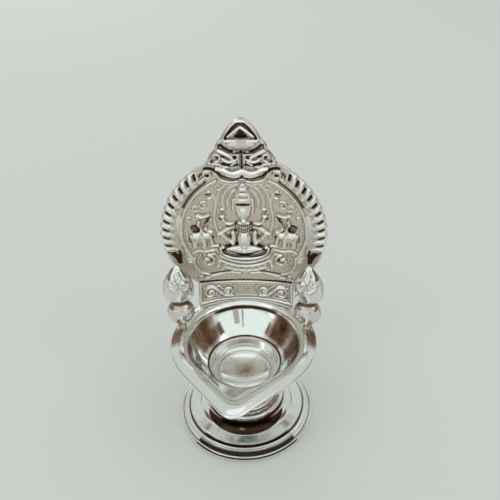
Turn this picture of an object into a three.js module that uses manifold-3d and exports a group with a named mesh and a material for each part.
// Silver diya: a footed oil lamp with a spouted bowl, a relief back plate and two side finials.
// Millimetres, +Z up, the spout points to -Y. Pieces are drawn about the turning axis x = 0, y = 0,
// and the whole lamp is then shifted along Y, so the origin lies under the middle of its bounding box.
import * as THREE from "three";
import Module from "manifold-3d";
import { mergeVertices } from "three/addons/utils/BufferGeometryUtils.js";

const wasm = await Module();
wasm.setup();

// Clearances
const SOLDER_GAP = 0.3; // film of solder between curved neighbours
const BORE_GAP = 0.3; // round the clamp stud

// Foot
const FOOT_RADIUS = 27;
const EDGE_WIDTH = 2;
const EDGE_HEIGHT = 2;
const FOOT_WALL = 1;
const LOWER_BAND = 1.1; // width of the sloping band inside the rolled edge
const LOWER_BAND_RISE = 1.3;
const BEAD = 0.5; // radius of the bead between the two bands
const UPPER_BAND = 1.7;
const UPPER_BAND_RISE = 1.6;
const DISH_LIP = 0.6;
const DISH_DIP = 0.5; // how far the dish sags between its lip and the dome
const DOME_FLARE = 1.7; // how far the dome's base spreads past the stem
const DOME_RISE = 4.1;

// Stem and its clamp
const STEM_RING_RADIUS = 15;
const STEM_RING_HEIGHT = 1.8;
const STEM_BEAD_RADIUS = 12.5;
const STEM_BEAD_HEIGHT = 1.6;
const STEM_SHOULDER = 0.6;
const SPOOL_RADIUS = 7.6;
const SPOOL_WAIST = 5.2;
const SPOOL_HEIGHT = 5;
const SAUCER_RADIUS = 11.2;
const SAUCER_HEIGHT = 2.5;
const STUD_RADIUS = 2;
const STUD_TAIL = 1.2; // length below the nut
const WASHER_RADIUS = 4.6;
const WASHER_HEIGHT = 0.8;
const NUT_ACROSS_FLATS = 7;
const NUT_HEIGHT = 2.4;

// Bowl
const BOWL_WALL = 1;
const BOWL_FLOOR = 1.2;
const FLOOR_RADIUS = 9.9;
const FLOOR_BEAD = 0.5;
const WELL_RADIUS = 13.3;
const WELL_DEPTH = 4.8;
const WELL_DRAFT = 1;
const CUP_DEPTH = 11.9;
const CUP_BELLY = 1.5; // how far the cup's wall swells past a straight cone
const MOUTH_RADIUS = 22.2;
const MOUTH_BEAD = 0.9;
const MOUTH_BEAD_HEIGHT = 0.5;
const FLANGE_WIDTH = 5.5;
const FLANGE_ROLL = 0.7; // radius of the turned-down edge
const SPOUT_REACH = 37.8;
const SPOUT_NOSE = 3.4;
const SPOUT_ANGLE = 3.7; // degrees, from square to the back plate toward the left

// Back plate
const PLATE_WALL = 1;
const PLATE_SETBACK = 0.9; // from the mouth's bead to the plate's face
const PANEL_HALF = 19;
const NECK_HEIGHT = 9.35; // where the panel's sides meet the disc
const DISC_RADIUS = 31.2;
const PANEL_BEND_RADIUS = 38; // across the panel, where it stands on the flange
const DISC_BEND_RADIUS = 114;
const CREST_RISE = 14;
const CREST_LOBE = 0.6; // how far each scallop of the crest swells
const CREST_STEPS = [
  // half-width and height over the disc's top at each notch
  new THREE.Vector2(12.6, -3.2),
  new THREE.Vector2(9.3, 2.4),
  new THREE.Vector2(7, 6.5),
];
const CREST_TIP_BLUNT = 1.6;

// Applied work on the plate
const PLATE_EDGE = 1; // bare margin outside the rope
const ROPE_WIDTH = 4.2;
const ROPE_RELIEF = 2;
const ROPE_GROOVE = 0.3; // share of the rope's radius lost between strands
const ROPE_STRANDS = 11;
const ROPE_TOP_ANGLE = 55;
const ROPE_LOW_ANGLE = -16;
const CHANNEL_WIDTH = 2.7;
const LINE_WIDTH = 0.8;
const LINE_RELIEF = 0.6;
const LINE_LOW_ANGLE = -34;
const YOKE_DROP = 6.2; // under the disc's top
const YOKE_SPAN = 12.3; // from the middle to each curl
const YOKE_WIDTH = 3;
const YOKE_RELIEF = 1.6;
const YOKE_SAG = 1.6;
const CREST_RIM_WIDTH = 1.1;
const CREST_RIM_RELIEF = 1.1;
const JEWEL_HALF = 4.6;
const JEWEL_HEIGHT = 3.4;
const JEWEL_RELIEF = 2;
const JEWEL_DROP = 9.2; // jewel's middle under the crest's tip
const FLAME_WIDTH = 1;
const FLAME_HALF = 3;
const FLAME_HEIGHT = 3.4;
const FLAME_SHOULDER = 2;
const SCROLL_WIDTH = 1;
const SCROLL_RELIEF = 1;
const SPIRAL_CLOSING = 0.7; // share of a spiral's radius lost by its inner end
const END_SHARE = 0.4; // a tapered ridge's end against its middle
const LEAF_WIDTH = 1.5;
const EYE_X = 2.2;
const EYE_DROP = 2.6; // a crest scroll's eye under the jewel
const EYE_RADIUS = 1.5;
const EYE_START = -60; // degrees
const EYE_TURNS = 0.9;
const FRAME_MARGIN = 0.5;
const FRAME_WIDTH = 0.9;
const FRAME_RELIEF = 0.7;
const VINE_RADIUS = 2.3;
const VINE_STEP = 5.6; // between the two eyes of a vine
const VINE_START = 110; // degrees
const VINE_TURNS = 0.8;
const VINE_MARGIN = 4.8; // from the panel's side to the outer eye

// Figures in the field
const SEAT_DROP = 15.6; // seat's lowest point under the disc's centre
const SEAT_HALF = 9;
const SEAT_THICK = 2.6;
const SEAT_RELIEF = 1.8;
const SEAT_CURL = 2.4; // how far the seat's ends rise
const PETALS = 7;
const PETAL_WIDTH = 3.2;
const PETAL_HEIGHT = 4;
const PETAL_SPREAD = 7.8;
const PETAL_CURL = 1.4; // how far the outer petals rise
const LAP_HALF = 6.6;
const LAP_HEIGHT = 4.4;
const TORSO_HEIGHT = 13.5;
const SHOULDER_HALF = 4.4;
const SHOULDER_RISE = 1.8;
const WAIST_HALF = 2.7;
const TORSO_HALF_HEIGHT = 7.6;
const FACE_HALF = 2.5;
const KNEE_HALF = 3.3;
const NECK_LENGTH = 3.2; // from the shoulders to the chin
const NECK_RADIUS = 1.3;
const HEAD_RADIUS = 3.2;
const CROWN_RADIUS = 3.1;
const CROWN_HEIGHT = 7.4;
const CROWN_TIERS = 4;
const CROWN_SEAT = 2.4; // over the head's middle
const CROWN_TAPER = 0.7;
const CROWN_GROOVE = 0.8; // a groove's radius against its tier's
const FIGURE_RELIEF = 2.2;
const BODY_RELIEF = 2;
const ARM_RADIUS = 1;
const STALK_RADIUS = 0.6;
const ELBOW_DROP = 2.4;
const ELBOW_OUT = 2;
const HAND_HALF = 8.5;
const HAND_RISE = 2.2; // over the shoulders
const FLOWER_RADIUS = 1.5;
const FLOWER_RISE = 3.4; // from the hand
const PALM_HALF = 5.6; // hands that rest over the knees
const PALM_RISE = 5.4; // over the lap
const FIELD_SCROLL_X = 15.4;
const FIELD_SCROLL_RADIUS = 2.4;
const FIELD_SCROLL_START = 100; // degrees
const FIELD_SCROLL_TURNS = 1.1;
const ELEPHANT_OFFSET = 0.5; // outward from midway between the goddess's hand and the circle line
const ELEPHANT_RELIEF = 1.9;
// Places across and up from an elephant's middle, level with the disc's centre
const ELEPHANT_BODY = { x: 0.9, z: -1, halfLong: 3.1, halfTall: 2.6 };
const ELEPHANT_HEAD = { x: -2.4, z: 1.4, halfLong: 1.85, halfTall: 1.9 };
const ELEPHANT_EAR = { x: -0.7, z: 1.2, halfLong: 1.1, halfTall: 1.55 };
const TRUNK_BEND = { x: -4.2, z: 2.3 };
const TRUNK_TIP = { x: -3.4, z: 5.7 };
const TRUNK_RADIUS = 0.75;
const ELEPHANT_STANCE = 1.8; // from the body's middle to each leg
const ELEPHANT_LEG_RADIUS = 0.95;
const ELEPHANT_FEET = -5.3;

// Side finials
const FINIAL_ANGLE = 16; // degrees behind the lamp's side
const FINIAL_FOOT_RADIUS = 1.6;
const FINIAL_FOOT_HEIGHT = 0.6;
const BULB_RADIUS = 5.2;
const BULB_HEIGHT = 12.2;
const BULB_DEPTH_SHARE = 0.8; // of the width
// Outlines as shares of the largest radius and of the height
const BULB_OUTLINE_SHARES = [[0.23, 0.1], [0.58, 0.26], [0.92, 0.48], [1, 0.68], [0.86, 0.88]];
const BUD_OUTLINE_SHARES = [[0.93, 0.16], [1, 0.34], [0.84, 0.51], [0.58, 0.69], [0.3, 0.87], [0, 1]];
const COLLAR_RADIUS = 2.9;
const COLLAR_HEIGHT = 1.1;
const BUD_RADIUS = 5.7;
const BUD_HEIGHT = 16.6;
const BUD_DEPTH_SHARE = 0.64;
const BUD_ANGLE = 10; // degrees toward the bowl's middle

// Fineness of the facets
const FOOT_SEGMENTS = 32;
const STEM_SEGMENTS = 24;
const BOWL_SEGMENTS = 40;
const FINIAL_SEGMENTS = 12;
const ARC_STEPS = 3;
const STEPS_PER_STRAND = 4;
const PLATE_COLUMNS = 6;
const PLATE_ROWS = 15; // over the disc
const ROWS_PER_LOBE = 4;
const SPOUT_CROWDING = 0.6; // how strongly the bowl's facets gather at the spout
const LINE_SIDES = 3;
const SPIRAL_POINTS = 8; // per turn

// Heights and places that follow from the sizes above
const DISH_RADIUS = FOOT_RADIUS - EDGE_WIDTH / 2 - LOWER_BAND - 2 * BEAD - UPPER_BAND;
const DISH_Z = EDGE_HEIGHT + LOWER_BAND_RISE + UPPER_BAND_RISE;
const FOOT_TOP = DISH_Z + DOME_RISE;
const SPOOL_Z = FOOT_TOP + STEM_RING_HEIGHT + STEM_BEAD_HEIGHT + STEM_SHOULDER;
const SAUCER_Z = SPOOL_Z + SPOOL_HEIGHT;
const BOWL_Z = SAUCER_Z + SAUCER_HEIGHT;
const FLOOR_Z = BOWL_Z + BOWL_FLOOR;
const WELL_Z = FLOOR_Z + WELL_DEPTH;
const MOUTH_Z = WELL_Z + CUP_DEPTH;
const FLANGE_RADIUS = MOUTH_RADIUS + FLANGE_WIDTH;
const BORE_RADIUS = STUD_RADIUS + BORE_GAP;
const PLATE_Y = MOUTH_RADIUS + MOUTH_BEAD + PLATE_SETBACK;
const DISC_Z = MOUTH_Z + NECK_HEIGHT + Math.sqrt(DISC_RADIUS ** 2 - PANEL_HALF ** 2);
const DISC_TOP = DISC_Z + DISC_RADIUS;
const CREST_TOP = DISC_TOP + CREST_RISE;
const JEWEL_Z = CREST_TOP - JEWEL_DROP;
const ROPE_RADIUS = DISC_RADIUS - PLATE_EDGE - ROPE_WIDTH / 2;
const CIRCLE_RADIUS = ROPE_RADIUS - ROPE_WIDTH / 2 - CHANNEL_WIDTH;
const ELEPHANT_X = (HAND_HALF + CIRCLE_RADIUS) / 2 + ELEPHANT_OFFSET;
const FINIAL_RADIUS = MOUTH_RADIUS + MOUTH_BEAD + (FLANGE_WIDTH - MOUTH_BEAD - FLANGE_ROLL) / 2;
const SPOUT_TURN = THREE.MathUtils.degToRad(-SPOUT_ANGLE);
const LAMP_SHIFT = (SPOUT_REACH - Math.max(FLANGE_RADIUS, FOOT_RADIUS)) / 2;

// Silver finishes
const POLISHED = { color: 0xdfe3df, roughness: 0.12, metalness: 1 };
const SATIN = { color: 0xc4bfb6, roughness: 0.42, metalness: 1 };
const BRIGHT_CUT = { color: 0xe8e6e0, roughness: 0.22, metalness: 1 };
const STEEL = { color: 0x9a9b9c, roughness: 0.45, metalness: 1 };

const lamp = new THREE.Group();
lamp.position.y = LAMP_SHIFT;

function addPiece(name, geometry, finish) {
  const mesh = new THREE.Mesh(geometry, new THREE.MeshStandardMaterial(finish));
  mesh.name = name;
  lamp.add(mesh);
}

// A piece on the lamp's right, seen from its front, and its mirror image on the left.
function addPair(name, geometry, finish) {
  addPiece(`${name}_right`, geometry, finish);
  addPiece(`${name}_left`, mirrored(geometry), finish);
}

// Shape helpers

function point(x, z) {
  return new THREE.Vector2(x, z);
}

// Points of a circular arc, in degrees, first and last included.
function arc(x, z, radius, from, to, steps = ARC_STEPS) {
  const points = [];
  for (let i = 0; i <= steps; i++) {
    const angle = THREE.MathUtils.degToRad(from + ((to - from) * i) / steps);
    points.push(point(x + radius * Math.cos(angle), z + radius * Math.sin(angle)));
  }
  return points;
}

// A curve from a to b that swells by bulge to the right of its run; the ends are included.
function swell(a, b, bulge, steps = ARC_STEPS) {
  const side = point(b.y - a.y, a.x - b.x).normalize().multiplyScalar(2 * bulge);
  const middle = a.clone().add(b).multiplyScalar(0.5).add(side);
  return new THREE.QuadraticBezierCurve(a, middle, b).getPoints(steps);
}

// Turns a profile of (radius, height) about the Z axis; the first angle faces -Y.
// A profile that misses the axis is closed on itself.
function turned(profile, segments) {
  const points = [...profile];
  const open = points[0].x > 0 || points[points.length - 1].x > 0;
  if (open) points.push(points[0].clone());
  return new THREE.LatheGeometry(points, segments).rotateX(Math.PI / 2);
}

// Moves every vertex of a geometry by a function of its position.
function reshaped(geometry, move) {
  const place = geometry.attributes.position;
  const vertex = new THREE.Vector3();
  for (let i = 0; i < place.count; i++) {
    vertex.fromBufferAttribute(place, i);
    move(vertex);
    place.setXYZ(i, vertex.x, vertex.y, vertex.z);
  }
  return geometry;
}

function fromTriangles(positions, indices) {
  const geometry = new THREE.BufferGeometry();
  geometry.setAttribute("position", new THREE.Float32BufferAttribute(positions, 3));
  geometry.setIndex(indices);
  return geometry;
}

// The mirror image across the lamp's middle plane.
function mirrored(geometry) {
  const copy = geometry.clone();
  reshaped(copy, (v) => v.set(-v.x, v.y, v.z));
  const index = copy.index.array;
  for (let i = 0; i < index.length; i += 3) {
    [index[i], index[i + 1]] = [index[i + 1], index[i]];
  }
  return copy;
}

// A closed body through rings of points that all have the same count; fans close the two ends.
function lofted(rings) {
  const count = rings[0].length;
  const positions = [];
  const indices = [];
  for (const ring of rings) {
    for (const p of ring) positions.push(p.x, p.y, p.z);
  }
  for (let i = 0; i + 1 < rings.length; i++) {
    for (let j = 0; j < count; j++) {
      const a = i * count + j;
      const b = i * count + ((j + 1) % count);
      indices.push(a, a + count, b, b, a + count, b + count);
    }
  }
  for (const [row, flip] of [[0, false], [rings.length - 1, true]]) {
    const hub = positions.length / 3;
    const centre = new THREE.Vector3();
    rings[row].forEach((p) => centre.addScaledVector(p, 1 / count));
    positions.push(centre.x, centre.y, centre.z);
    for (let j = 0; j < count; j++) {
      const a = row * count + j;
      const b = row * count + ((j + 1) % count);
      indices.push(...(flip ? [hub, b, a] : [hub, a, b]));
    }
  }
  return fromTriangles(positions, indices);
}

// A closed sheet between two faces; place(u, v, back) gives the point at 0..1 along each way.
function sheet(columns, rows, place) {
  const positions = [];
  const indices = [];
  const width = columns + 1;
  const back = width * (rows + 1);
  for (const side of [0, 1]) {
    for (let j = 0; j <= rows; j++) {
      for (let i = 0; i <= columns; i++) {
        const p = place(i / columns, j / rows, side);
        positions.push(p.x, p.y, p.z);
      }
    }
  }
  const quad = (a, b, c, d) => indices.push(a, b, c, a, c, d);
  for (let j = 0; j < rows; j++) {
    for (let i = 0; i < columns; i++) {
      const a = j * width + i;
      quad(a, a + 1, a + 1 + width, a + width);
      quad(a + back, a + width + back, a + width + 1 + back, a + 1 + back);
    }
    const left = j * width;
    const right = left + columns;
    quad(left, left + width, left + width + back, left + back);
    quad(right, right + back, right + width + back, right + width);
  }
  for (let i = 0; i < columns; i++) {
    const top = rows * width + i;
    quad(i, i + back, i + 1 + back, i + 1);
    quad(top, top + 1, top + 1 + back, top + back);
  }
  return fromTriangles(positions, indices);
}

function toManifold(geometry) {
  const bare = geometry.clone();
  bare.deleteAttribute("normal");
  bare.deleteAttribute("uv");
  const merged = mergeVertices(bare, 1e-4);
  const index = merged.index.array;
  const kept = [];
  for (let i = 0; i < index.length; i += 3) {
    const [a, b, c] = [index[i], index[i + 1], index[i + 2]];
    if (a !== b && b !== c && c !== a) kept.push(a, b, c);
  }
  const vertProperties = new Float32Array(merged.attributes.position.array);
  return new wasm.Manifold(new wasm.Mesh({ numProp: 3, vertProperties, triVerts: new Uint32Array(kept) }));
}

function fromManifold(solid) {
  const mesh = solid.getMesh();
  return fromTriangles(Array.from(mesh.vertProperties), Array.from(mesh.triVerts));
}

// Foot: a spun dish, open below, on a rolled edge

function footEdge() {
  const inner = FOOT_RADIUS - EDGE_WIDTH;
  const roll = EDGE_HEIGHT / 2;
  return turned([
    point(inner, 0),
    ...arc(FOOT_RADIUS - roll, roll, roll, -90, 90, 2 * ARC_STEPS),
    point(inner, EDGE_HEIGHT),
  ], FOOT_SEGMENTS);
}

function footDish() {
  const outer = FOOT_RADIUS - EDGE_WIDTH / 2;
  const bead = point(outer - LOWER_BAND - BEAD, EDGE_HEIGHT + LOWER_BAND_RISE);
  const domeRadius = STEM_RING_RADIUS + DOME_FLARE;
  const dishLow = DISH_Z - DISH_DIP;
  const domeFoot = point(domeRadius, dishLow + DOME_RISE / 4);
  const plateau = point(STEM_RING_RADIUS, FOOT_TOP);
  const above = [
    point(outer, EDGE_HEIGHT),
    ...arc(bead.x, bead.y, BEAD, 0, 180),
    ...swell(point(bead.x - BEAD, bead.y), point(DISH_RADIUS, DISH_Z), -BEAD / 2).slice(1),
    point(DISH_RADIUS - DISH_LIP, DISH_Z),
    ...swell(point(DISH_RADIUS - DISH_LIP, DISH_Z), domeFoot, -DISH_DIP).slice(1),
    ...swell(domeFoot, plateau, BEAD / 2).slice(1),
    point(BORE_RADIUS, FOOT_TOP),
  ];
  const below = [
    point(BORE_RADIUS, FOOT_TOP - FOOT_WALL),
    point(STEM_RING_RADIUS - FOOT_WALL, FOOT_TOP - FOOT_WALL),
    point(domeRadius - FOOT_WALL / 2, dishLow - FOOT_WALL / 2),
    point(DISH_RADIUS - DISH_LIP, DISH_Z - FOOT_WALL - DISH_DIP),
    point(bead.x - BEAD - FOOT_WALL, EDGE_HEIGHT + LOWER_BAND_RISE - FOOT_WALL / 2),
    point(outer - FOOT_WALL, EDGE_HEIGHT),
  ];
  return turned([...above, ...below], FOOT_SEGMENTS);
}

// Stem: a ringed base, a waisted spool and a saucer, drawn together by a stud

function stemBase() {
  const beadZ = FOOT_TOP + STEM_RING_HEIGHT;
  const top = beadZ + STEM_BEAD_HEIGHT;
  const ringRoll = STEM_RING_HEIGHT / 2;
  const beadRoll = STEM_BEAD_HEIGHT / 2;
  return turned([
    point(BORE_RADIUS, FOOT_TOP),
    ...arc(STEM_RING_RADIUS - ringRoll, FOOT_TOP + ringRoll, ringRoll, -90, 90),
    point(STEM_BEAD_RADIUS - 2 * beadRoll, beadZ),
    ...arc(STEM_BEAD_RADIUS - beadRoll, beadZ + beadRoll, beadRoll, -60, 90),
    point(SPOOL_RADIUS, top + STEM_SHOULDER),
    point(BORE_RADIUS, top + STEM_SHOULDER),
  ], STEM_SEGMENTS);
}

function stemSpool() {
  const low = point(SPOOL_RADIUS, SPOOL_Z);
  const high = point(SPOOL_RADIUS, SAUCER_Z);
  return turned([
    point(BORE_RADIUS, SPOOL_Z),
    ...swell(low, high, SPOOL_WAIST - SPOOL_RADIUS, 2 * ARC_STEPS),
    point(BORE_RADIUS, SAUCER_Z),
  ], STEM_SEGMENTS);
}

function stemSaucer() {
  return turned([
    point(BORE_RADIUS, SAUCER_Z),
    ...swell(point(SPOOL_RADIUS, SAUCER_Z), point(SAUCER_RADIUS, BOWL_Z), STEM_SHOULDER),
    point(BORE_RADIUS, BOWL_Z),
  ], STEM_SEGMENTS);
}

const WASHER_TOP = FOOT_TOP - FOOT_WALL;
const WASHER_Z = WASHER_TOP - WASHER_HEIGHT;
const NUT_Z = WASHER_Z - NUT_HEIGHT;

function clampStud() {
  return turned([point(0, NUT_Z - STUD_TAIL), point(STUD_RADIUS, NUT_Z - STUD_TAIL),
    point(STUD_RADIUS, BOWL_Z), point(0, BOWL_Z)], FINIAL_SEGMENTS);
}

function clampWasher() {
  return turned([point(BORE_RADIUS, WASHER_Z), point(WASHER_RADIUS, WASHER_Z),
    point(WASHER_RADIUS, WASHER_TOP), point(BORE_RADIUS, WASHER_TOP)], FINIAL_SEGMENTS);
}

function clampNut() {
  const outline = new THREE.Shape();
  const corner = NUT_ACROSS_FLATS / Math.sqrt(3);
  for (let i = 0; i < 6; i++) {
    const angle = (i * Math.PI) / 3;
    const go = i ? "lineTo" : "moveTo";
    outline[go](corner * Math.cos(angle), corner * Math.sin(angle));
  }
  outline.closePath();
  outline.holes.push(new THREE.Path().absarc(0, 0, BORE_RADIUS, 0, 2 * Math.PI, true));
  const settings = { depth: NUT_HEIGHT, bevelEnabled: false, curveSegments: ARC_STEPS };
  return new THREE.ExtrudeGeometry(outline, settings).translate(0, 0, NUT_Z);
}

// Bowl: pressed round, then its mouth and flange drawn out into a spout

// How much farther than the round rim the drawn rim reaches, at an angle from the front.
// The drawn rim is the round one and the spout's nose, joined by their common tangents.
function spoutPull(angle) {
  const offset = SPOUT_REACH - SPOUT_NOSE;
  const tangent = Math.acos((FLANGE_RADIUS - SPOUT_NOSE) / offset);
  const away = Math.abs(angle);
  if (away >= tangent) return 1;
  const noseEnd = Math.atan2(SPOUT_NOSE * Math.sin(tangent), offset + SPOUT_NOSE * Math.cos(tangent));
  if (away > noseEnd) return 1 / Math.cos(tangent - away);
  const across = offset * Math.sin(away);
  return (offset * Math.cos(away) + Math.sqrt(SPOUT_NOSE ** 2 - across ** 2)) / FLANGE_RADIUS;
}

// The facets are crowded toward the spout, and the pull grows from the well up to the flange.
function drawSpout(vertex) {
  const radius = Math.hypot(vertex.x, vertex.y);
  const even = Math.atan2(vertex.x, -vertex.y);
  const angle = even - SPOUT_CROWDING * Math.sin(even);
  const share = THREE.MathUtils.clamp((vertex.z - WELL_Z) / (CUP_DEPTH - BOWL_WALL), 0, 1);
  const reach = radius * (1 + share * (spoutPull(angle) - 1));
  vertex.set(reach * Math.sin(angle), -reach * Math.cos(angle), vertex.z);
}

function oilBowl() {
  const wellFoot = WELL_RADIUS - WELL_DRAFT;
  const wellTop = point(WELL_RADIUS, WELL_Z);
  const mouth = point(MOUTH_RADIUS, MOUTH_Z);
  const beadTop = MOUTH_Z + MOUTH_BEAD_HEIGHT;
  const under = MOUTH_Z - BOWL_WALL;
  const rollX = FLANGE_RADIUS - FLANGE_ROLL;
  const inside = [
    point(0, FLOOR_Z),
    point(FLOOR_RADIUS, FLOOR_Z),
    point(FLOOR_RADIUS + FLOOR_BEAD, FLOOR_Z + FLOOR_BEAD),
    point(wellFoot, FLOOR_Z + 2 * FLOOR_BEAD),
    ...swell(wellTop, mouth, CUP_BELLY, 2 * ARC_STEPS),
    point(MOUTH_RADIUS + MOUTH_BEAD / 4, beadTop),
    point(MOUTH_RADIUS + (3 * MOUTH_BEAD) / 4, beadTop),
    point(MOUTH_RADIUS + MOUTH_BEAD, MOUTH_Z),
    ...arc(rollX, MOUTH_Z - FLANGE_ROLL, FLANGE_ROLL, 90, -60),
    point(rollX - FLANGE_ROLL, under),
  ];
  const outside = [
    ...swell(point(MOUTH_RADIUS + BOWL_WALL, under), point(WELL_RADIUS + BOWL_WALL, WELL_Z - BOWL_WALL),
      -CUP_BELLY, ARC_STEPS + 1),
    point(wellFoot + BOWL_WALL, FLOOR_Z),
    point(wellFoot - FLOOR_BEAD, BOWL_Z),
    point(0, BOWL_Z),
  ];
  const pressed = turned([...inside, ...outside].reverse(), BOWL_SEGMENTS);
  return reshaped(pressed, drawSpout).rotateZ(SPOUT_TURN);
}

// Back plate: a sheet bent about the vertical, tighter where it stands on the flange

function plateFace(x, z) {
  const share = THREE.MathUtils.clamp((z - MOUTH_Z) / NECK_HEIGHT, 0, 1);
  const bend = THREE.MathUtils.lerp(1 / PANEL_BEND_RADIUS, 1 / DISC_BEND_RADIUS, share);
  return PLATE_Y - (bend * x * x) / 2;
}

function discHalf(z) {
  return Math.sqrt(Math.max(DISC_RADIUS ** 2 - (z - DISC_Z) ** 2, 0));
}

function crestHalf(z) {
  const rise = z - DISC_TOP;
  const tip = point(CREST_TIP_BLUNT, CREST_RISE);
  const stops = [...CREST_STEPS, tip];
  for (let i = 0; i + 1 < stops.length; i++) {
    const [low, high] = [stops[i], stops[i + 1]];
    if (rise < low.y || rise > high.y) continue;
    const share = (rise - low.y) / (high.y - low.y);
    return THREE.MathUtils.lerp(low.x, high.x, share) + CREST_LOBE * Math.sin(Math.PI * share);
  }
  return 0;
}

function plateHalf(z) {
  const panel = z <= MOUTH_Z + NECK_HEIGHT ? PANEL_HALF : 0;
  return Math.max(panel, discHalf(z), crestHalf(z));
}

// Heights of the plate's rows: even steps over the disc, and the notches and lobes of the crest.
function plateRows() {
  const panelRows = [0, 0.5, 1].map((share) => MOUTH_Z + share * NECK_HEIGHT);
  const low = MOUTH_Z + NECK_HEIGHT;
  const crestFoot = DISC_TOP + CREST_STEPS[0].y;
  const rows = [...panelRows];
  const start = Math.asin((low - DISC_Z) / DISC_RADIUS);
  const end = Math.asin((crestFoot - DISC_Z) / DISC_RADIUS);
  for (let i = 1; i <= PLATE_ROWS; i++) {
    rows.push(DISC_Z + DISC_RADIUS * Math.sin(start + ((end - start) * i) / PLATE_ROWS));
  }
  const stops = [...CREST_STEPS.map((step) => step.y), CREST_RISE];
  for (let i = 0; i + 1 < stops.length; i++) {
    for (let j = 1; j <= ROWS_PER_LOBE; j++) {
      rows.push(DISC_TOP + THREE.MathUtils.lerp(stops[i], stops[i + 1], j / ROWS_PER_LOBE));
    }
  }
  return rows;
}

function backPlate() {
  const rows = plateRows();
  return sheet(PLATE_COLUMNS, rows.length - 1, (u, v, back) => {
    const z = rows[Math.round(v * (rows.length - 1))];
    const x = (2 * u - 1) * plateHalf(z);
    return new THREE.Vector3(x, plateFace(x, z) + back * PLATE_WALL, z);
  });
}

// Applied work is drawn flat, standing off y = 0 toward -Y, and then laid on the bent plate.
function laidOnPlate(geometry) {
  return reshaped(geometry, (v) => v.setY(v.y + plateFace(v.x, v.z) - SOLDER_GAP));
}

// A closed ridge along a plane curve of (x, z). The section gives, for a share of the run and an
// angle from 0 to 180 degrees over the ridge, how far the point lies aside and how far it stands off.
function ridge(curve, steps, sides, section) {
  const rings = [];
  for (let i = 0; i <= steps; i++) {
    const share = i / steps;
    const middle = curve.getPoint(share);
    const run = curve.getTangent(share);
    const ring = [];
    for (let j = 0; j <= sides; j++) {
      const { aside, up } = section(share, (Math.PI * j) / sides);
      ring.push(new THREE.Vector3(middle.x + run.y * aside, -up, middle.y - run.x * aside));
    }
    rings.push(ring);
  }
  return lofted(rings);
}

// Half-round section; the taper scales it along the run.
function halfRound(width, relief, taper = () => 1) {
  return (share, angle) => {
    const size = taper(share);
    return { aside: (size * width * Math.cos(angle)) / 2, up: size * relief * Math.sin(angle) };
  };
}

const thinEnds = (share) => END_SHARE + (1 - END_SHARE) * Math.sin(Math.PI * share);
const thinLast = (share) => 1 - END_SHARE * share;

// Points of a spiral about an eye, from its outer radius inward.
function spiral(eye, radius, from, turns) {
  const points = [];
  const steps = Math.ceil(Math.abs(turns) * SPIRAL_POINTS);
  for (let i = 0; i <= steps; i++) {
    const share = i / steps;
    const angle = THREE.MathUtils.degToRad(from + 360 * turns * share);
    const reach = radius * (1 - SPIRAL_CLOSING * share);
    points.push(point(eye.x + reach * Math.cos(angle), eye.y + reach * Math.sin(angle)));
  }
  return points;
}

// The part of a shape that stands off the plate.
const inFront = toManifold(
  new THREE.BoxGeometry(CREST_TOP, CREST_TOP, 2 * CREST_TOP).translate(0, -CREST_TOP / 2, CREST_TOP),
);

function frontHalf(geometry) {
  return fromManifold(toManifold(geometry).intersect(inFront));
}

// One body from applied shapes that run into each other.
function joined(geometries) {
  return fromManifold(geometries.map(toManifold).reduce((whole, next) => whole.add(next)));
}

// A half ellipsoid standing off the plate.
function boss(x, z, halfWidth, halfHeight, relief, around = 8, up = 6) {
  const ball = new THREE.SphereGeometry(1, around, up).scale(halfWidth, relief, halfHeight);
  return laidOnPlate(frontHalf(ball.translate(x, 0, z)));
}

function scrollRidge(points) {
  const curve = new THREE.SplineCurve(points);
  const section = halfRound(SCROLL_WIDTH, SCROLL_RELIEF, thinLast);
  return laidOnPlate(ridge(curve, 2 * points.length - 3, LINE_SIDES, section));
}

// Rope: two strands twisted together, laid round the disc

function ropeBorder() {
  const from = THREE.MathUtils.degToRad(ROPE_LOW_ANGLE);
  const to = THREE.MathUtils.degToRad(ROPE_TOP_ANGLE);
  const path = new THREE.EllipseCurve(0, DISC_Z, ROPE_RADIUS, ROPE_RADIUS, from, to);
  const twisted = (share, angle) => {
    const crown = Math.abs(Math.cos(angle - Math.PI * ROPE_STRANDS * share));
    const size = 1 - ROPE_GROOVE + ROPE_GROOVE * crown;
    return { aside: (size * ROPE_WIDTH * Math.cos(angle)) / 2, up: size * ROPE_RELIEF * Math.sin(angle) };
  };
  return laidOnPlate(ridge(path, ROPE_STRANDS * STEPS_PER_STRAND, 5, twisted));
}

function circleLine() {
  const from = THREE.MathUtils.degToRad(LINE_LOW_ANGLE);
  const to = Math.acos((YOKE_SPAN - YOKE_WIDTH) / CIRCLE_RADIUS);
  const path = new THREE.EllipseCurve(0, DISC_Z, CIRCLE_RADIUS, CIRCLE_RADIUS, from, to);
  return laidOnPlate(ridge(path, 16, LINE_SIDES, halfRound(LINE_WIDTH, LINE_RELIEF)));
}

// Crest: rim, jewel, flame, scrolls and leaves over a yoke

function crestRim() {
  const inset = CREST_RIM_WIDTH / 2 + SOLDER_GAP;
  const side = [];
  const low = CREST_STEPS[0].y + ROPE_WIDTH;
  const steps = 2 * ROWS_PER_LOBE;
  for (let i = 0; i <= steps; i++) {
    const rise = THREE.MathUtils.lerp(low, CREST_RISE - inset, i / steps);
    side.push(point(Math.max(crestHalf(DISC_TOP + rise) - 1.3 * inset, 0), DISC_TOP + rise - inset / 2));
  }
  side[side.length - 1].x = 0;
  const other = side.slice(0, -1).map((p) => point(-p.x, p.y));
  const outline = new THREE.SplineCurve([...other, ...side.reverse()]);
  return laidOnPlate(ridge(outline, 30, LINE_SIDES, halfRound(CREST_RIM_WIDTH, CREST_RIM_RELIEF)));
}

function crestJewel() {
  return boss(0, JEWEL_Z, JEWEL_HALF, JEWEL_HEIGHT / 2, JEWEL_RELIEF, 14, 8);
}

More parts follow.
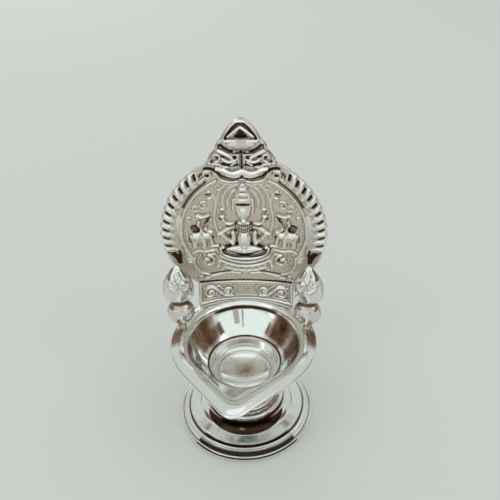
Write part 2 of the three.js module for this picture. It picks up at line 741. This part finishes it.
function crestFlame() {
  const foot = JEWEL_Z + JEWEL_HEIGHT / 2 + FLAME_WIDTH;
  const curve = new THREE.SplineCurve([
    point(-FLAME_HALF, foot),
    point(-FLAME_HALF / 2, foot + FLAME_SHOULDER),
    point(0, foot + FLAME_HEIGHT),
    point(FLAME_HALF / 2, foot + FLAME_SHOULDER),
    point(FLAME_HALF, foot),
  ]);
  return laidOnPlate(ridge(curve, 12, LINE_SIDES, halfRound(FLAME_WIDTH, SCROLL_RELIEF)));
}

// Curls from the crest's middle out to its lower lobe.
function crestScroll() {
  const lobe = CREST_STEPS[0];
  const eye = point(EYE_X, JEWEL_Z - JEWEL_HEIGHT / 2 - EYE_DROP);
  const tail = [
    point(lobe.x - 3 * SCROLL_WIDTH, DISC_TOP + lobe.y / 2 + SCROLL_WIDTH),
    point((eye.x + lobe.x) / 2, eye.y - EYE_RADIUS / 2),
  ];
  return scrollRidge([...tail, ...spiral(eye, EYE_RADIUS, EYE_START, EYE_TURNS)]);
}

// A leaf under each side of the jewel.
function crestLeaf() {
  const lobe = CREST_STEPS[1];
  const from = point(lobe.x - 2.5 * SCROLL_WIDTH, DISC_TOP + lobe.y + SCROLL_WIDTH);
  const to = point(EYE_X + EYE_RADIUS + SCROLL_WIDTH, JEWEL_Z - JEWEL_HEIGHT / 2);
  const middle = point((from.x + to.x) / 2, (from.y + to.y) / 2 - SCROLL_WIDTH / 2);
  const curve = new THREE.SplineCurve([from, middle, to]);
  return laidOnPlate(ridge(curve, 6, LINE_SIDES, halfRound(LEAF_WIDTH, SCROLL_RELIEF, thinEnds)));
}

function crestYoke() {
  const top = DISC_TOP - YOKE_DROP;
  const end = YOKE_SPAN - YOKE_WIDTH;
  const half = [point(end, top), point(end / 2, top - YOKE_SAG), point(end / 5, top - YOKE_SAG / 2)];
  const other = half.map((p) => point(-p.x, p.y));
  const curve = new THREE.SplineCurve([...other, point(0, top), ...half.reverse()]);
  return laidOnPlate(ridge(curve, 20, 4, halfRound(YOKE_WIDTH, YOKE_RELIEF, thinEnds)));
}

function yokeCurl() {
  return boss(YOKE_SPAN, DISC_TOP - YOKE_DROP, YOKE_WIDTH / 2, YOKE_WIDTH / 2, YOKE_RELIEF);
}

// Panel: a raised frame and a running scroll on each side

function panelFrame() {
  const half = PANEL_HALF - FRAME_MARGIN - FRAME_WIDTH / 2;
  const low = MOUTH_Z + FRAME_MARGIN + FRAME_WIDTH / 2;
  const high = MOUTH_Z + NECK_HEIGHT;
  const over = FRAME_WIDTH / 2;
  const bar = (from, to, steps) => {
    const section = halfRound(FRAME_WIDTH, FRAME_RELIEF);
    return laidOnPlate(ridge(new THREE.LineCurve(from, to), steps, LINE_SIDES, section));
  };
  return joined([
    bar(point(-half - over, low), point(half + over, low), 10),
    bar(point(-half - over, high), point(half + over, high), 10),
    bar(point(-half, low), point(-half, high), 3),
    bar(point(half, low), point(half, high), 3),
  ]);
}

// Two volutes run into each other as a lying S.
function panelVine() {
  const middle = MOUTH_Z + FRAME_MARGIN + (NECK_HEIGHT - FRAME_MARGIN) / 2;
  const outerEye = point(PANEL_HALF - VINE_MARGIN, middle - VINE_RADIUS / 4);
  const innerEye = point(outerEye.x - VINE_STEP, middle + VINE_RADIUS / 4);
  const outer = spiral(outerEye, VINE_RADIUS, VINE_START, -VINE_TURNS);
  const inner = spiral(innerEye, VINE_RADIUS, VINE_START - 180, -VINE_TURNS);
  const curve = new THREE.SplineCurve([...outer.reverse(), ...inner]);
  return laidOnPlate(ridge(curve, 22, LINE_SIDES, halfRound(SCROLL_WIDTH, SCROLL_RELIEF)));
}

// Field: the seated goddess on her lotus between two elephants

const SEAT_LOW = DISC_Z - SEAT_DROP;
const LAP_Z = SEAT_LOW + SEAT_THICK + SOLDER_GAP + LAP_HEIGHT / 2;
const SHOULDER_Z = LAP_Z + TORSO_HEIGHT;
const HEAD_Z = SHOULDER_Z + HEAD_RADIUS + NECK_LENGTH;
const CROWN_Z = HEAD_Z + CROWN_SEAT;

function lotusSeat() {
  const middle = SEAT_LOW + SEAT_THICK / 2;
  const curve = new THREE.QuadraticBezierCurve(
    point(-SEAT_HALF, middle + SEAT_CURL),
    point(0, middle - SEAT_CURL),
    point(SEAT_HALF, middle + SEAT_CURL),
  );
  return laidOnPlate(ridge(curve, 16, 4, halfRound(SEAT_THICK, SEAT_RELIEF, thinEnds)));
}

function lotusBase() {
  const petals = [];
  const spread = (PETALS - 1) / 2;
  for (let i = 0; i < PETALS; i++) {
    const aside = (i - spread) / spread;
    const z = SEAT_LOW - PETAL_HEIGHT / 2 - SOLDER_GAP + PETAL_CURL * aside * aside;
    petals.push(boss(aside * PETAL_SPREAD, z, PETAL_WIDTH / 2, PETAL_HEIGHT / 2, SCROLL_RELIEF, 6, 4));
  }
  return joined(petals);
}

function limb(from, to, radius) {
  const run = new THREE.Vector3(to.x - from.x, 0, to.y - from.y);
  const capsule = new THREE.CapsuleGeometry(radius, run.length(), 1, 6);
  const turn = new THREE.Quaternion().setFromUnitVectors(new THREE.Vector3(0, 1, 0), run.clone().normalize());
  capsule.applyQuaternion(turn).translate((from.x + to.x) / 2, 0, (from.y + to.y) / 2);
  return laidOnPlate(frontHalf(capsule));
}

// A tall crown of rings that lessen toward the top.
function crown() {
  const tier = CROWN_HEIGHT / CROWN_TIERS;
  const profile = [point(0, 0)];
  for (let i = 0; i < CROWN_TIERS; i++) {
    const radius = CROWN_RADIUS * (1 - (CROWN_TAPER * i) / CROWN_TIERS);
    profile.push(point(CROWN_GROOVE * radius, i * tier), point(radius, (i + 0.5) * tier));
  }
  profile.push(point(0, CROWN_HEIGHT));
  const rings = turned(profile, 8).scale(1, FIGURE_RELIEF / CROWN_RADIUS, 1);
  return laidOnPlate(frontHalf(rings.translate(0, 0, CROWN_Z)));
}

function goddess() {
  const shoulder = point(SHOULDER_HALF, SHOULDER_Z);
  const elbow = point(SHOULDER_HALF + ELBOW_OUT, SHOULDER_Z - ELBOW_DROP);
  const hand = point(HAND_HALF, SHOULDER_Z + HAND_RISE);
  const palm = point(PALM_HALF, LAP_Z + PALM_RISE);
  const knee = point(LAP_HALF - LAP_HEIGHT / 2, LAP_Z);
  const limbs = [];
  for (const side of [-1, 1]) {
    const at = (p) => point(side * p.x, p.y);
    limbs.push(limb(at(shoulder), at(elbow), ARM_RADIUS));
    limbs.push(limb(at(elbow), at(hand), ARM_RADIUS));
    limbs.push(limb(at(elbow), at(palm), ARM_RADIUS));
    limbs.push(boss(side * hand.x, hand.y + FLOWER_RISE, FLOWER_RADIUS, FLOWER_RADIUS, FLOWER_RADIUS, 6, 4));
    limbs.push(limb(at(hand), at(point(hand.x, hand.y + FLOWER_RISE)), STALK_RADIUS));
    limbs.push(boss(side * knee.x, knee.y, KNEE_HALF, LAP_HEIGHT / 2, BODY_RELIEF));
  }
  const waistZ = (LAP_Z + SHOULDER_Z) / 2;
  return joined([
    boss(0, LAP_Z - LAP_HEIGHT / 6, SHOULDER_HALF, LAP_HEIGHT / 3, FIGURE_RELIEF),
    boss(0, waistZ, WAIST_HALF, TORSO_HALF_HEIGHT, BODY_RELIEF),
    boss(0, SHOULDER_Z, SHOULDER_HALF, SHOULDER_RISE, BODY_RELIEF),
    limb(point(0, SHOULDER_Z), point(0, HEAD_Z), NECK_RADIUS),
    boss(0, HEAD_Z, FACE_HALF, HEAD_RADIUS, FIGURE_RELIEF),
    crown(),
    ...limbs,
  ]);
}

function elephantPoint(part) {
  return point(ELEPHANT_X + part.x, DISC_Z + part.z);
}

function elephantBoss(part, ...fineness) {
  const middle = elephantPoint(part);
  return boss(middle.x, middle.y, part.halfLong, part.halfTall, ELEPHANT_RELIEF, ...fineness);
}

function elephantLeg(side) {
  const hip = elephantPoint({ x: ELEPHANT_BODY.x + side * ELEPHANT_STANCE, z: ELEPHANT_BODY.z });
  return limb(hip, point(hip.x, DISC_Z + ELEPHANT_FEET), ELEPHANT_LEG_RADIUS);
}

function elephant() {
  const bend = elephantPoint(TRUNK_BEND);
  return joined([
    elephantBoss(ELEPHANT_BODY),
    elephantBoss(ELEPHANT_HEAD),
    elephantBoss(ELEPHANT_EAR, 6, 4),
    elephantLeg(-1),
    elephantLeg(1),
    limb(elephantPoint(ELEPHANT_HEAD), bend, ELEPHANT_LEG_RADIUS),
    limb(bend, elephantPoint(TRUNK_TIP), TRUNK_RADIUS),
  ]);
}

function fieldScroll() {
  const eye = point(FIELD_SCROLL_X, SEAT_LOW);
  return scrollRidge(spiral(eye, FIELD_SCROLL_RADIUS, FIELD_SCROLL_START, FIELD_SCROLL_TURNS));
}

// Side finials: a flattened bulb, a collar and a pointed bud, one above the other

const BULB_TOP = MOUTH_Z + BULB_HEIGHT;
const BUD_Z = BULB_TOP + COLLAR_HEIGHT;

function placedFinial(geometry, depth, turn) {
  const bearing = THREE.MathUtils.degToRad(FINIAL_ANGLE);
  geometry.scale(1, depth, 1).rotateZ(THREE.MathUtils.degToRad(-turn));
  return geometry.translate(FINIAL_RADIUS * Math.cos(bearing), FINIAL_RADIUS * Math.sin(bearing), 0);
}

// Points of a finial's outline from shares of its largest radius and of its height.
function finialOutline(shares, radius, low, height) {
  return shares.map(([across, up]) => point(across * radius, low + up * height));
}

function finialBulb() {
  const belly = finialOutline(BULB_OUTLINE_SHARES, BULB_RADIUS, MOUTH_Z, BULB_HEIGHT);
  const body = new THREE.SplineCurve([...belly, point(COLLAR_RADIUS, BULB_TOP)]);
  const profile = [
    point(0, MOUTH_Z),
    point(FINIAL_FOOT_RADIUS, MOUTH_Z),
    point(FINIAL_FOOT_RADIUS, MOUTH_Z + FINIAL_FOOT_HEIGHT),
    ...body.getPoints(2 * belly.length - 1),
    point(0, BULB_TOP),
  ];
  return placedFinial(turned(profile, FINIAL_SEGMENTS), BULB_DEPTH_SHARE, BUD_ANGLE);
}

function finialCollar() {
  const cove = swell(point(COLLAR_RADIUS, BULB_TOP), point(COLLAR_RADIUS, BUD_Z), -COLLAR_HEIGHT / 3);
  const collar = turned([point(0, BULB_TOP), ...cove, point(0, BUD_Z)], FINIAL_SEGMENTS);
  return placedFinial(collar, BULB_DEPTH_SHARE, BUD_ANGLE);
}

function finialBud() {
  const belly = finialOutline(BUD_OUTLINE_SHARES, BUD_RADIUS, BUD_Z, BUD_HEIGHT);
  const leaf = new THREE.SplineCurve([point(COLLAR_RADIUS, BUD_Z), ...belly]);
  const profile = [point(0, BUD_Z), ...leaf.getPoints(2 * belly.length - 1)];
  return placedFinial(turned(profile, FINIAL_SEGMENTS), BUD_DEPTH_SHARE, BUD_ANGLE);
}

// The whole lamp

addPiece("foot_edge", footEdge(), POLISHED);
addPiece("foot_dish", footDish(), POLISHED);
addPiece("stem_base", stemBase(), POLISHED);
addPiece("stem_spool", stemSpool(), POLISHED);
addPiece("stem_saucer", stemSaucer(), POLISHED);
addPiece("clamp_stud", clampStud(), STEEL);
addPiece("clamp_washer", clampWasher(), STEEL);
addPiece("clamp_nut", clampNut(), STEEL);
addPiece("oil_bowl", oilBowl(), POLISHED);
addPiece("back_plate", backPlate(), SATIN);
addPiece("crest_rim", crestRim(), BRIGHT_CUT);
addPiece("crest_jewel", crestJewel(), BRIGHT_CUT);
addPiece("crest_flame", crestFlame(), BRIGHT_CUT);
addPiece("crest_yoke", crestYoke(), BRIGHT_CUT);
addPiece("panel_frame", panelFrame(), SATIN);
addPiece("lotus_base", lotusBase(), SATIN);
addPiece("lotus_seat", lotusSeat(), BRIGHT_CUT);
addPiece("goddess", goddess(), SATIN);
addPair("rope", ropeBorder(), BRIGHT_CUT);
addPair("circle_line", circleLine(), BRIGHT_CUT);
addPair("crest_scroll", crestScroll(), BRIGHT_CUT);
addPair("crest_leaf", crestLeaf(), BRIGHT_CUT);
addPair("yoke_curl", yokeCurl(), BRIGHT_CUT);
addPair("panel_vine", panelVine(), SATIN);
addPair("field_scroll", fieldScroll(), SATIN);
addPair("elephant", elephant(), SATIN);
addPair("finial_bulb", finialBulb(), POLISHED);
addPair("finial_collar", finialCollar(), POLISHED);
addPair("finial_bud", finialBud(), POLISHED);

export default lamp;
